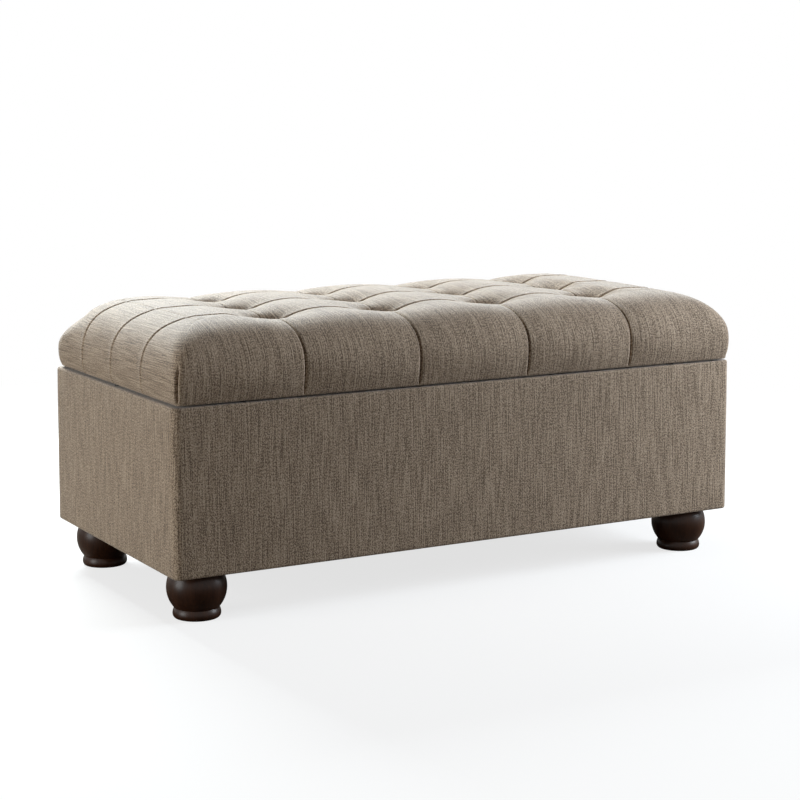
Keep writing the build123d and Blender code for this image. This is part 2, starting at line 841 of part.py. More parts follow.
with BuildPart() as stay_bracket_pins:
    for _, side in sides:
        link_outer = side * (ear_outer + stay_gap + stay_plate)
        disc(link_outer, lid_pivot, rivet_radius, -side * (2 * stay_plate + stay_gap))
        disc(side * ear_inner, lid_pivot, rivet_head_radius, -side * rivet_head)
write(stay_bracket_pins, "stay_bracket_pins")

with BuildPart() as stay_screws_box:
    for name, _ in sides:
        with Locations(*housing_screws[name]):
            add(stay_screw)
write(stay_screws_box, "stay_screws_box")

with BuildPart() as stay_screws_lid:
    for name, _ in sides:
        with Locations(*bracket_screws[name]):
            add(stay_screw)
write(stay_screws_lid, "stay_screws_lid")
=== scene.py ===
"""Looks of a tufted storage bench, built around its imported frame.

The lid carries a square-tufted pad in taupe linen. The box below is wrapped in the same cloth
and stands on four dark turned feet. Lengths are in metres, the front looks towards -Y and the
feet stand on Z = 0.
"""

import logging
import math
from dataclasses import dataclass, field, replace
from enum import Enum

import bmesh
import bpy
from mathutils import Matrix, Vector, noise


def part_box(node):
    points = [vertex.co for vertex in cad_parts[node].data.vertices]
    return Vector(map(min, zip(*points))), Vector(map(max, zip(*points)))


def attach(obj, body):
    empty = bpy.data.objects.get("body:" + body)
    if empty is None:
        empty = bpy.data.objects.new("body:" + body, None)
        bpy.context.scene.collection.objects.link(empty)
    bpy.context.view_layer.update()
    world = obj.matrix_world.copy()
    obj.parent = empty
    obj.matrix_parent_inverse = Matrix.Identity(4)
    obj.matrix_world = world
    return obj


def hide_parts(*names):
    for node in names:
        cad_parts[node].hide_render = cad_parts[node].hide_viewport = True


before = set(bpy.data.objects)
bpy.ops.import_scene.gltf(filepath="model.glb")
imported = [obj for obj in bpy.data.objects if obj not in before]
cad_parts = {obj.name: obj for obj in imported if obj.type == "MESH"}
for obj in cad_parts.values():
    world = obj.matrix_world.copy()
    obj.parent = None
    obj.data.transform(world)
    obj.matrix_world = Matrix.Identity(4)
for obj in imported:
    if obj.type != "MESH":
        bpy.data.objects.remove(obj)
log = logging.getLogger("bench")

Triple = tuple[float, float, float]
Colour = Triple
Socket = bpy.types.NodeSocket
MILLIMETRE = 0.001
WEAVE_MAP = "weave"
LATTICE_TURN = (0.0, 0.0, 0.6)
ROUND_EDGES = {"affect": "EDGES", "profile": 0.5, "material": -1}


class Body(Enum):
    """The moving bodies of the bench that carry new pieces."""

    BASE = "base"
    LID = "lid"


class Slot(Enum):
    """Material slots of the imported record."""

    LINEN = "linen"
    BOARD = "board"
    FOAM = "foam"
    LINING = "lining"
    DUST_CLOTH = "dust_cloth"
    TURNED_WOOD = "turned_wood"
    ZINC_STEEL = "zinc_steel"
    HINGE_STEEL = "hinge_steel"
    BUMPER_RUBBER = "bumper_rubber"
    STAY_PLASTIC = "stay_plastic"
    STAY_STEEL = "stay_steel"
    PIVOT_STEEL = "pivot_steel"
    TWINE = "twine"


class Side(Enum):
    """The parts of a wrapped form, for the direction of its threads."""

    TOP = "top"
    FRONT = "front"
    BACK = "back"
    LEFT = "left"
    RIGHT = "right"


def smooth_step(value: float) -> float:
    """Ease a value from 0 to 1, held at both ends."""
    held = min(max(value, 0.0), 1.0)
    return held * held * (3.0 - 2.0 * held)


def nearest(value: float, lines: list[float]) -> float:
    """The line that lies nearest to a value."""
    return min(lines, key=lambda line: abs(value - line))


def add_piece(bm: bmesh.types.BMesh, name: str, finish: bpy.types.Material) -> bpy.types.Object:
    """Turn a finished bmesh into a smooth-shaded object at the origin.

    Args:
        bm: The modelled shape, which is freed.
        name: The piece's name.
        finish: Its material.

    Returns:
        The new object.
    """
    mesh = bpy.data.meshes.new(name)
    bm.to_mesh(mesh)
    bm.free()
    mesh.shade_smooth()
    mesh.materials.append(finish)
    piece = bpy.data.objects.new(name, mesh)
    bpy.context.scene.collection.objects.link(piece)
    return piece


def hand_over(piece: bpy.types.Object, body: Body, slot: Slot, *nodes: str) -> None:
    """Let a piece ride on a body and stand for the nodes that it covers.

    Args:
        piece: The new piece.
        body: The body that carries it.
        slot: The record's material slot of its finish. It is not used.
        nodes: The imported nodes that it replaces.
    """
    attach(piece, body.value)
    if nodes:
        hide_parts(*nodes)
    log.info("%s: %d faces, on %s", piece.name, len(piece.data.polygons), body.value)


def upright_edges(bm: bmesh.types.BMesh, height: float) -> list[bmesh.types.BMEdge]:
    """The edges of a box that run from its bottom to its top."""
    rises = [(edge, abs(edge.verts[0].co.z - edge.verts[1].co.z)) for edge in bm.edges]
    return [edge for edge, rise in rises if rise > 0.5 * height]


def refine(piece: bpy.types.Object) -> None:
    """Round a piece off with one level of subdivision.

    Args:
        piece: The piece.
    """
    finer = piece.modifiers.new("finer", "SUBSURF")
    finer.levels = 1
    finer.render_levels = 1


def thicken(piece: bpy.types.Object, thickness: float, offset: float) -> None:
    """Give a cloth its thickness.

    Args:
        piece: The cloth.
        thickness: Its thickness.
        offset: -1 for a wall behind its faces, 1 for a wall in front of them.
    """
    wall = piece.modifiers.new("cloth", "SOLIDIFY")
    wall.thickness = thickness
    wall.offset = offset


class ShaderBench:
    """Adds nodes to one material and wires them to its shader."""

    def __init__(self, name: str) -> None:
        """Start a material with a plain shader."""
        self.material = bpy.data.materials.new(name)
        self.material.use_nodes = True
        self.tree = self.material.node_tree
        self.shader = self.tree.nodes["Principled BSDF"]

    def add(self, kind: str, inputs: dict, **settings: object) -> bpy.types.Node:
        """Add a node.

        Args:
            kind: The node's type.
            inputs: Values or sockets for its inputs, by name or number.
            settings: The node's own properties.

        Returns:
            The new node.
        """
        node = self.tree.nodes.new(kind)
        for name, value in settings.items():
            setattr(node, name, value)
        for name, value in inputs.items():
            if isinstance(value, Socket):
                self.tree.links.new(value, node.inputs[name])
            else:
                node.inputs[name].default_value = value
        return node

    def math(self, operation: str, *values: object) -> Socket:
        """Work out one number from sockets and numbers."""
        return self.add("ShaderNodeMath", dict(enumerate(values)), operation=operation).outputs[0]

    def mix_of(self, *shares: tuple[Socket, float]) -> Socket:
        """Add up sockets around 0.5, each by its share.

        Args:
            shares: The sockets, each with its share.

        Returns:
            The sum.
        """
        total = 0.5
        for socket, share in shares:
            centred = self.math("SUBTRACT", socket, 0.5)
            total = self.math("MULTIPLY_ADD", centred, share, total)
        return total

    def grain(self, where: Socket, scale: Triple, detail: float = 2.0, space: str = "3D") -> Socket:
        """Noise on stretched coordinates, turned so that its lattice makes no bands.

        Args:
            where: The coordinates.
            scale: Cells per metre along each axis.
            detail: How many finer layers it holds.
            space: "2D" on a weave map, "3D" elsewhere.

        Returns:
            The noise's value.
        """
        inputs = {"Vector": where, "Rotation": LATTICE_TURN, "Scale": scale}
        placed = self.add("ShaderNodeMapping", inputs)
        inputs = {"Vector": placed.outputs[0], "Scale": 1.0, "Detail": detail, "Roughness": 0.6}
        return self.add("ShaderNodeTexNoise", inputs, noise_dimensions=space).outputs[0]

    def ramp(self, value: Socket, *stops: tuple[float, Colour]) -> Socket:
        """Colour a value between stops.

        Args:
            value: The value.
            stops: Positions from 0 to 1, each with its colour.

        Returns:
            The colour.
        """
        node = self.add("ShaderNodeValToRGB", {0: value})
        elements = node.color_ramp.elements
        while len(elements) < len(stops):
            elements.new(1.0)
        for element, (position, colour) in zip(elements, stops):
            element.position = position
            element.color = (*colour, 1.0)
        return node.outputs[0]

    def bump(self, height: Socket, strength: float, distance: float) -> None:
        """Give the shader a fine relief.

        Args:
            height: The relief from 0 to 1.
            strength: How much of it shows.
            distance: Its depth.
        """
        inputs = {"Height": height, "Strength": strength, "Distance": distance}
        node = self.add("ShaderNodeBump", inputs)
        self.tree.links.new(node.outputs[0], self.shader.inputs["Normal"])

    def feed(self, name: str, value: object) -> None:
        """Set or link one of the shader's inputs.

        Args:
            name: The input's name.
            value: A plain value or a socket.
        """
        if isinstance(value, Socket):
            self.tree.links.new(value, self.shader.inputs[name])
        else:
            self.shader.inputs[name].default_value = value

    def object_place(self) -> Socket:
        """The point's place in its object."""
        return self.add("ShaderNodeTexCoord", {}).outputs["Object"]

    def weave_place(self) -> Socket:
        """The point's place on its cloth, in metres."""
        return self.add("ShaderNodeUVMap", {}, uv_map=WEAVE_MAP).outputs[0]


@dataclass(frozen=True)
class Linen:
    """Taupe slubbed linen. Its thick threads run along the second axis of the weave map."""

    dark_yarn: Colour = (0.120, 0.085, 0.058)
    middle_yarn: Colour = (0.300, 0.220, 0.151)
    light_yarn: Colour = (0.520, 0.408, 0.302)
    thread_pitch: float = 1.1 * MILLIMETRE
    slub_width: float = 1.6 * MILLIMETRE
    slub_length: float = 70 * MILLIMETRE
    cross_width: float = 2.0 * MILLIMETRE
    cross_length: float = 16 * MILLIMETRE
    fleck_width: float = 1.6 * MILLIMETRE
    fleck_length: float = 2.6 * MILLIMETRE
    cloud: float = 90 * MILLIMETRE
    slub_share: float = 1.8
    cross_share: float = 0.6
    fleck_share: float = 2.4
    cloud_share: float = 0.12
    thread_share: float = 0.2
    relief: float = 0.42
    relief_depth: float = 0.6 * MILLIMETRE
    roughness: float = 0.82
    sheen: float = 0.32
    sheen_tint: Colour = (0.96, 0.98, 1.0)

    def material(self) -> bpy.types.Material:
        """Mix the cloth's colours, gloss and relief.

        Returns:
            The finished cloth.
        """
        bench = ShaderBench("taupe_linen")
        place = bench.weave_place()
        slubs = bench.grain(place, (1 / self.slub_width, 1 / self.slub_length, 1.0), 2.0, "2D")
        cross = bench.grain(place, (1 / self.cross_length, 1 / self.cross_width, 1.0), 1.0, "2D")
        flecks = bench.grain(place, (1 / self.fleck_width, 1 / self.fleck_length, 1.0), 1.0, "2D")
        clouds = bench.grain(place, (1 / self.cloud, 0.5 / self.cloud, 1.0), 2.0, "2D")
        threads = self.threads(bench, place)
        tone = bench.mix_of(
            (slubs, self.slub_share),
            (cross, self.cross_share),
            (flecks, self.fleck_share),
            (clouds, self.cloud_share),
            (threads, self.thread_share),
        )
        stops = ((0.1, self.dark_yarn), (0.5, self.middle_yarn), (0.9, self.light_yarn))
        bench.feed("Base Color", bench.ramp(tone, *stops))
        height = bench.mix_of((threads, 0.5), (slubs, 1.2))
        bench.bump(height, self.relief, self.relief_depth)
        bench.feed("Roughness", self.roughness)
        bench.feed("Specular IOR Level", 0.3)
        bench.feed("Sheen Weight", self.sheen)
        bench.feed("Sheen Roughness", 0.4)
        bench.feed("Sheen Tint", (*self.sheen_tint, 1.0))
        return bench.material

    def threads(self, bench: ShaderBench, place: Socket) -> Socket:
        """Over-and-under relief of a plain weave.

        Args:
            bench: Where the cloth is mixed.
            place: The place on the cloth.

        Returns:
            The relief from 0 to 1.
        """
        axes = bench.add("ShaderNodeSeparateXYZ", {0: place})
        turn = math.pi / self.thread_pitch
        waves = [
            bench.math("SINE", bench.math("MULTIPLY", axes.outputs[axis], turn)) for axis in (0, 1)
        ]
        crossing = bench.math("MULTIPLY", *waves)
        return bench.math("MULTIPLY_ADD", crossing, 0.5, 0.5)


@dataclass(frozen=True)
class FeltedCloth:
    """Thin non-woven cloth with a pressed dot pattern, for linings."""

    name: str
    dark: Colour
    light: Colour
    dot_pitch: float = 2.4 * MILLIMETRE
    fibre: float = 0.6 * MILLIMETRE
    cloud_cells: Triple = (14.0, 14.0, 14.0)

    def material(self) -> bpy.types.Material:
        """Mix the cloth's colours, gloss and relief.

        Returns:
            The finished cloth.
        """
        bench = ShaderBench(self.name)
        place = bench.object_place()
        fibres = bench.grain(place, (1 / self.fibre,) * 3, 3.0)
        clouds = bench.grain(place, self.cloud_cells, 3.0)
        inputs = {"Vector": place, "Scale": 1 / self.dot_pitch, "Randomness": 0.25}
        dots = bench.add("ShaderNodeTexVoronoi", inputs).outputs["Distance"]
        tone = bench.mix_of((fibres, 0.6), (clouds, 0.5), (dots, 0.5))
        bench.feed("Base Color", bench.ramp(tone, (0.2, self.dark), (0.8, self.light)))
        bench.bump(bench.mix_of((fibres, 0.5), (dots, 0.7)), 0.5, 0.3 * MILLIMETRE)
        bench.feed("Roughness", 0.9)
        bench.feed("Sheen Weight", 0.2)
        return bench.material


@dataclass(frozen=True)
class TurnedWood:
    """Dark stained wood under satin varnish, with its grain upright."""

    stain: Colour = (0.018, 0.0060, 0.0026)
    grain: Colour = (0.052, 0.0185, 0.0075)
    fibre_cells: Triple = (420.0, 420.0, 22.0)
    figure_cells: Triple = (60.0, 60.0, 9.0)

    def material(self) -> bpy.types.Material:
        """Mix the wood's colours, gloss and relief.

        Returns:
            The finished wood.
        """
        bench = ShaderBench("espresso_wood")
        place = bench.object_place()
        fibres = bench.grain(place, self.fibre_cells, 4.0)
        figure = bench.grain(place, self.figure_cells, 3.0)
        tone = bench.mix_of((fibres, 0.8), (figure, 0.9))
        bench.feed("Base Color", bench.ramp(tone, (0.25, self.stain), (0.85, self.grain)))
        rough = bench.math("MULTIPLY_ADD", figure, 0.16, 0.30)
        bench.feed("Roughness", rough)
        bench.bump(fibres, 0.12, 0.3 * MILLIMETRE)
        bench.feed("Specular IOR Level", 0.22)
        bench.feed("Coat Weight", 0.05)
        bench.feed("Coat Roughness", 0.2)
        return bench.material


@dataclass(frozen=True)
class PressedBoard:
    """Pressed wood board with flat chips."""

    dark: Colour = (0.26, 0.17, 0.09)
    light: Colour = (0.56, 0.42, 0.26)
    chip_cells: Triple = (130.0, 260.0, 260.0)
    dust_cells: Triple = (900.0, 900.0, 900.0)

    def material(self) -> bpy.types.Material:
        """Mix the board's colours, gloss and relief.

        Returns:
            The finished board.
        """
        bench = ShaderBench("pressed_board")
        place = bench.object_place()
        chips = bench.grain(place, self.chip_cells, 3.0)
        dust = bench.grain(place, self.dust_cells, 2.0)
        tone = bench.mix_of((chips, 0.9), (dust, 0.5))
        bench.feed("Base Color", bench.ramp(tone, (0.2, self.dark), (0.8, self.light)))
        bench.feed("Roughness", 0.78)
        bench.bump(tone, 0.3, 0.3 * MILLIMETRE)
        return bench.material


@dataclass(frozen=True)
class PlatedSteel:
    """Brushed or plated steel, with fine scratches."""

    name: str
    dark: Colour
    light: Colour
    roughness: float
    brush_cells: Triple = (1800.0, 90.0, 900.0)
    cloud_cells: Triple = (55.0, 55.0, 55.0)

    def material(self) -> bpy.types.Material:
        """Mix the metal's colours, gloss and relief.

        Returns:
            The finished metal.
        """
        bench = ShaderBench(self.name)
        place = bench.object_place()
        brushed = bench.grain(place, self.brush_cells, 3.0)
        clouds = bench.grain(place, self.cloud_cells, 3.0)
        tone = bench.mix_of((brushed, 0.6), (clouds, 0.7))
        bench.feed("Base Color", bench.ramp(tone, (0.2, self.dark), (0.8, self.light)))
        bench.feed("Metallic", 1.0)
        bench.feed("Roughness", bench.math("MULTIPLY_ADD", tone, 0.2, self.roughness - 0.1))
        bench.bump(brushed, 0.08, 0.1 * MILLIMETRE)
        return bench.material


@dataclass(frozen=True)
class MouldedCompound:
    """Moulded rubber or plastic with a fine grain."""

    name: str
    dark: Colour
    light: Colour
    roughness: float
    pore_cells: Triple = (1400.0, 1400.0, 1400.0)
    cloud_cells: Triple = (70.0, 70.0, 70.0)

    def material(self) -> bpy.types.Material:
        """Mix the compound's colours, gloss and relief.

        Returns:
            The finished compound.
        """
        bench = ShaderBench(self.name)
        place = bench.object_place()
        pores = bench.grain(place, self.pore_cells, 2.0)
        clouds = bench.grain(place, self.cloud_cells, 2.0)
        tone = bench.mix_of((pores, 0.5), (clouds, 0.6))
        bench.feed("Base Color", bench.ramp(tone, (0.2, self.dark), (0.8, self.light)))
        bench.feed("Roughness", bench.math("MULTIPLY_ADD", clouds, 0.15, self.roughness))
        bench.bump(pores, 0.25, 0.15 * MILLIMETRE)
        return bench.material


@dataclass(frozen=True)
class TwistedTwine:
    """Waxed twine with its twist."""

    dark: Colour = (0.30, 0.24, 0.16)
    light: Colour = (0.66, 0.58, 0.44)
    twist: float = 3.0 * MILLIMETRE

    def material(self) -> bpy.types.Material:
        """Mix the twine's colours, gloss and relief.

        Returns:
            The finished twine.
        """
        bench = ShaderBench("waxed_twine")
        place = bench.object_place()
        inputs = {"Vector": place, "Scale": 0.3 / self.twist, "Distortion": 1.0}
        twist = bench.add("ShaderNodeTexWave", inputs, bands_direction="DIAGONAL").outputs[1]
        bench.feed("Base Color", bench.ramp(twist, (0.2, self.dark), (0.8, self.light)))
        bench.feed("Roughness", 0.6)
        bench.bump(twist, 0.5, 0.3 * MILLIMETRE)
        return bench.material


@dataclass(frozen=True)
class Shoulder:
    """The upright section of one side of the pad, along its pleats.

    Insets are measured inwards from the face of the box and heights from the box rim.
    """

    hem_inset: float
    widest_inset: float
    widest_height: float
    crown_inset: float
    hem_height: float = 5 * MILLIMETRE
    crown_height: float = 111 * MILLIMETRE
    squareness: float = 2.0

    def inset(self, height: float) -> float:
        """How far the section lies inside the face of the box.

        Args:
            height: The height above the rim.

        Returns:
            The inset at that height.
        """
        if height < self.widest_height:
            fall = (self.widest_height - height) / (self.widest_height - self.hem_height)
            return self.widest_inset + (self.hem_inset - self.widest_inset) * fall**3
        rise = (height - self.widest_height) / (self.crown_height - self.widest_height)
        turn = max(0.0, 1.0 - rise**self.squareness) ** (1.0 / self.squareness)
        return self.widest_inset + (self.crown_inset - self.widest_inset) * (1.0 - turn)


@dataclass(frozen=True)
class Ring:
    """One level contour of the pad: a rectangle with round corners."""

    half_x: float
    half_y: float
    front_corner: float
    back_corner: float
    z: float
    drop_x: float = 0.0
    drop_y: float = 0.0

    def corner(self, y: float) -> float:
        """The corner radius on the front or the back."""
        return self.front_corner if y < 0.0 else self.back_corner


@dataclass(frozen=True)
class SwellingCloth:
    """How the pad's cloth gives while it is blown up."""

    quality: int = 6
    mass: float = 0.002
    stretch: float = 4.0
    shear: float = 2.0
    bending: float = 0.3
    pressure: float = 18.0
    frames: int = 20

    def set_up(self, cloth: bpy.types.ClothModifier, held: str) -> None:
        """Set up a cloth modifier, without gravity.

        Args:
            cloth: The modifier.
            held: The name of the vertex group that stays in place.
        """
        settings = cloth.settings
        settings.quality = self.quality
        settings.mass = self.mass
        settings.tension_stiffness = self.stretch
        settings.compression_stiffness = self.stretch
        settings.shear_stiffness = self.shear
        settings.bending_stiffness = self.bending
        settings.vertex_group_mass = held
        settings.use_pressure = True
        settings.uniform_pressure_force = self.pressure
        settings.effector_weights.gravity = 0.0
        cloth.point_cache.frame_start = 1
        cloth.point_cache.frame_end = self.frames


@dataclass
class SeatPad:
    """The tufted pad of the lid: pillows, pleats, tufts, corner seams and a turned hem."""

    linen: bpy.types.Material
    ends: Shoulder = Shoulder(
        5.5 * MILLIMETRE, 1.2 * MILLIMETRE, 30 * MILLIMETRE, 77.7 * MILLIMETRE, squareness=2.5
    )
    long_sides: Shoulder = Shoulder(
        0.5 * MILLIMETRE, -4.6 * MILLIMETRE, 51 * MILLIMETRE, 95.4 * MILLIMETRE, squareness=2.2
    )
    columns: int = 4
    rows: int = 3
    twine_radius: float = 1.2 * MILLIMETRE
    hem_corner: float = 8 * MILLIMETRE
    back_hem_corner: float = 20 * MILLIMETRE
    front_crown_corner: float = 28 * MILLIMETRE
    back_crown_corner: float = 115 * MILLIMETRE
    corner_turn: tuple[float, float] = (38 * MILLIMETRE, 98 * MILLIMETRE)
    dome: float = 3 * MILLIMETRE
    pillow_rise: float = 5 * MILLIMETRE
    swell_cap: float = 7 * MILLIMETRE
    end_share: float = 0.2
    end_flatness: float = 0.6
    hem_fullness: float = 0.35
    cloth: SwellingCloth = SwellingCloth()
    column_base: float = 0.3
    row_base: float = 0.56
    tuft_depth: float = 38 * MILLIMETRE
    tuft_reach: float = 17 * MILLIMETRE
    tuft_width: float = 21 * MILLIMETRE
    tuft_power: float = 1.7
    crease_depth: float = 6.5 * MILLIMETRE
    crease_half_width: float = 1.8 * MILLIMETRE
    row_share: float = 0.5
    row_end_loss: float = 0.6
    slit_share: float = 1.4
    slit_reach: float = 26 * MILLIMETRE
    fold_rise: float = 0.9 * MILLIMETRE
    fold_offset: float = 4.5 * MILLIMETRE
    seam_top: float = 64 * MILLIMETRE
    seam_share: float = 1.9
    seam_fade: float = 14 * MILLIMETRE
    seam_narrowing: float = 0.6
    hem_roll: float = 2.5 * MILLIMETRE
    hem_width: float = 28 * MILLIMETRE
    fine_steps: tuple[float, ...] = (0.0, 0.0008, 0.0020, 0.0043, 0.0085, 0.015, 0.023)
    shoulder_steps: int = 15
    side_steps: int = 6
    coarse_cell: float = 10.5 * MILLIMETRE
    end_cell: float = 9 * MILLIMETRE
    front_cell: float = 1.8 * MILLIMETRE
    last_cells: tuple[float, ...] = (0.4, 0.35)
    edge_margin: float = 0.5 * MILLIMETRE
    rings: list[Ring] = field(default_factory=list)
    half_x: float = field(init=False)
    half_y: float = field(init=False)
    rim: float = field(init=False)
    tuft_x: list[float] = field(init=False)
    tuft_y: list[float] = field(init=False)
    top_x: float = field(init=False)
    top_y: float = field(init=False)
    steady_x: float = field(init=False)
    steady_y: float = field(init=False)

    def __post_init__(self) -> None:
        """Take the tuft grid and the outline from the frame."""
        self.half_x, self.half_y, self.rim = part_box("box_cover")[1]
        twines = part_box("tuft_twines")[1]
        self.tuft_x = self.spread(twines.x - self.twine_radius, self.columns)
        self.tuft_y = self.spread(twines.y - self.twine_radius, self.rows)
        self.top_x = self.half_x - self.ends.crown_inset
        self.top_y = self.half_y - self.long_sides.crown_inset
        self.steady_x = self.tuft_x[-1] + self.fine_steps[-1]
        self.steady_y = self.tuft_y[-1] + self.fine_steps[-2]

    @staticmethod
    def spread(reach: float, count: int) -> list[float]:
        """Even places from -reach to reach."""
        return [reach * (2 * index / (count - 1) - 1) for index in range(count)]

    def stations(self, lines: list[float], edge: float, edge_cell: float) -> list[float]:
        """Places of the mesh lines across the crown, close together at each pleat.

        Args:
            lines: Where the pleats are.
            edge: Half the width of the crown.
            edge_cell: The spacing between the last pleat and the edge.

        Returns:
            The places in order.
        """
        steps = {sign * step for step in self.fine_steps for sign in (1, -1)}
        places = {line + step for line in lines for step in steps}
        places = {place for place in places if abs(place) < edge - self.edge_margin}
        reach = self.fine_steps[-1]
        for line, following in zip(lines, lines[1:]):
            low, high = line + reach, following - reach
            count = max(1, round((high - low) / self.coarse_cell))
            places |= {low + (high - low) * index / count for index in range(1, count)}
        start = max(places)
        count = max(2, round((edge - start) / edge_cell))
        outer = [start + (edge - start) * index / count for index in range(1, count + 1)]
        for share in self.last_cells:
            outer.insert(-1, edge - (edge - outer[-2]) * share)
        places |= set(outer) | {-place for place in outer}
        return sorted(places)

    def level(self, height: float) -> Ring:
        """The contour of the pad at one level.

        Args:
            height: The height above the rim.

        Returns:
            The contour.
        """
        half_x = self.half_x - self.ends.inset(height)
        half_y = self.half_y - self.long_sides.inset(height)
        low, high = self.corner_turn
        share = smooth_step((height - low) / (high - low))
        room = half_y - self.steady_y - MILLIMETRE
        corners = [
            min(hem + (crown - hem) * share, room)
            for hem, crown in (
                (self.hem_corner, self.front_crown_corner),
                (self.back_hem_corner, self.back_crown_corner),
            )
        ]
        return Ring(half_x, half_y, *corners, self.rim + height)

    def make_rings(self) -> None:
        """Work out the contours from the crown down to the hem and under the board."""
        self.rings = [self.level(self.long_sides.crown_height)]
        widest, top = self.long_sides.widest_height, self.long_sides.crown_height
        heights = [
            widest + (top - widest) * math.cos(0.5 * math.pi * step / self.shoulder_steps)
            for step in range(1, self.shoulder_steps + 1)
        ]
        bottom = self.long_sides.hem_height
        heights += [
            widest + (bottom - widest) * step / self.side_steps
            for step in range(1, self.side_steps + 1)
        ]
        for height in heights:
            self.add_ring(self.level(height))
        edge = self.rings[-1]
        roll = self.hem_roll
        turned = [
            (0.3 * roll, 0.7 * roll),
            (roll, roll),
            (0.4 * self.hem_width, roll),
            (self.hem_width, roll),
            (self.hem_width, -2 * roll),
        ]
        for inset, drop in turned:
            front = max(self.hem_corner - inset, roll)
            back = max(self.back_hem_corner - inset, roll)
            self.add_ring(Ring(edge.half_x - inset, edge.half_y - inset, front, back, edge.z - drop))

    def add_ring(self, ring: Ring) -> None:
        """Add a contour, with the length of cloth down to it.

        Args:
            ring: The contour, below the last one.
        """
        last = self.rings[-1]
        drop_x = last.drop_x + math.hypot(ring.half_x - last.half_x, ring.z - last.z)
        drop_y = last.drop_y + math.hypot(ring.half_y - last.half_y, ring.z - last.z)
        self.rings.append(replace(ring, drop_x=drop_x, drop_y=drop_y))

    def stretch(self, x: float, y: float, ring: Ring) -> tuple[float, float]:
        """Move a place on the crown out to a contour; what lies near the tufts stays.

        Args:
            x: The place across the crown.
            y: The place along the crown.
            ring: The contour.

        Returns:
            The moved place, with square corners.
        """
        wide, deep = abs(x), abs(y)
        if wide > self.steady_x:
            share = (wide - self.steady_x) / (self.top_x - self.steady_x)
            wide = self.steady_x + share * (ring.half_x - self.steady_x)
        if deep > self.steady_y:
            share = (deep - self.steady_y) / (self.top_y - self.steady_y)
            deep = self.steady_y + share * (ring.half_y - self.steady_y)
        return math.copysign(wide, x), math.copysign(deep, y)

    @staticmethod
    def round_corner(x: float, y: float, ring: Ring) -> tuple[float, float]:
        """Bend the square corner of a contour into a round one.

        Args:
            x: A place across the square contour.
            y: A place along the square contour.
            ring: The contour.

        Returns:
            The place on the round contour.
        """
        radius = ring.corner(y)
        across = abs(x) - (ring.half_x - radius)
        along = abs(y) - (ring.half_y - radius)
        if across <= 0.0 or along <= 0.0:
            return x, y
        reach = max(across, along)
        if across >= along:
            turn = 0.25 * math.pi * along / reach
        else:
            turn = 0.5 * math.pi - 0.25 * math.pi * across / reach
        wide = ring.half_x - radius + reach * math.cos(turn)
        deep = ring.half_y - radius + reach * math.sin(turn)
        return math.copysign(wide, x), math.copysign(deep, y)

    def place(self, x: float, y: float, ring: Ring) -> Vector:
        """Where a place of the crown's grid lies on a contour."""
        wide, deep = self.round_corner(*self.stretch(x, y, ring), ring)
        return Vector((wide, deep, ring.z))

    def blank(self) -> bmesh.types.BMesh:
        """The pad without its pillows: a grid for the crown, drawn down ring by ring.

        Returns:
            The mesh, with each vertex's grid place and ring in its layers.
        """
        across = self.stations(self.tuft_x, self.top_x, self.end_cell)
        along = self.stations(self.tuft_y, self.top_y, self.front_cell)
        bm = bmesh.new()
        columns, rows = len(across) - 1, len(along) - 1
        bmesh.ops.create_grid(bm, x_segments=columns, y_segments=rows, size=1.0)
        spot = bm.verts.layers.float_vector.new("spot")
        level = bm.verts.layers.int.new("level")
        for vertex in bm.verts:
            column = round((vertex.co.x + 1) / 2 * columns)
            row = round((vertex.co.y + 1) / 2 * rows)
            x, y = across[column], along[row]
            vertex[spot] = Vector((x, y, 0.0))
            vertex.co = self.place(x, y, self.rings[0])
            bulge = (1 - (x / self.top_x) ** 2) * (1 - (y / self.top_y) ** 2)
            vertex.co.z += self.dome * bulge
        for index, ring in enumerate(self.rings[1:], start=1):
            edges = [edge for edge in bm.edges if edge.is_boundary]
            grown = bmesh.ops.extrude_edge_only(bm, edges=edges)["geom"]
            for vertex in (item for item in grown if isinstance(item, bmesh.types.BMVert)):
                vertex[level] = index
                vertex.co = self.place(vertex[spot].x, vertex[spot].y, ring)
        open_edges = [edge for edge in bm.edges if edge.is_boundary]
        bmesh.ops.triangle_fill(bm, edges=open_edges, use_beauty=True)
        bmesh.ops.recalc_face_normals(bm, faces=bm.faces)
        return bm

    def map_weave(self, bm: bmesh.types.BMesh) -> None:
        """Lay the cloth flat: across and along the crown, and down each side from it.

        Args:
            bm: The blank pad.
        """
        spot = bm.verts.layers.float_vector["spot"]
        level = bm.verts.layers.int["level"]
        weave = bm.loops.layers.uv.new(WEAVE_MAP)
        for face in bm.faces:
            side = self.side_of([vertex[spot] for vertex in face.verts])
            for loop in face.loops:
                ring = self.rings[loop.vert[level]]
                x, y = self.stretch(loop.vert[spot].x, loop.vert[spot].y, ring)
                if side in (Side.FRONT, Side.BACK):
                    y = math.copysign(self.top_y + ring.drop_y, y)
                elif side in (Side.LEFT, Side.RIGHT):
                    x = math.copysign(self.top_x + ring.drop_x, x)
                loop[weave].uv = (x, y)

    def side_of(self, spots: list[Vector]) -> Side:
        """Which side of the pad a face belongs to.

        Args:
            spots: The places of its vertices on the crown's grid.

        Returns:
            The side.
        """
        hair = 1e-6
        for side, axis, edge in (
            (Side.FRONT, 1, -self.top_y),
            (Side.BACK, 1, self.top_y),
            (Side.LEFT, 0, -self.top_x),
            (Side.RIGHT, 0, self.top_x),
        ):
            if all(abs(spot[axis] - edge) < hair for spot in spots):
                return side
        return Side.TOP

    def pleat_distance(self, point: Vector) -> tuple[float, float]:
        """Signed distance to the nearest column pleat and to the nearest row pleat."""
        return point.x - nearest(point.x, self.tuft_x), point.y - nearest(point.y, self.tuft_y)

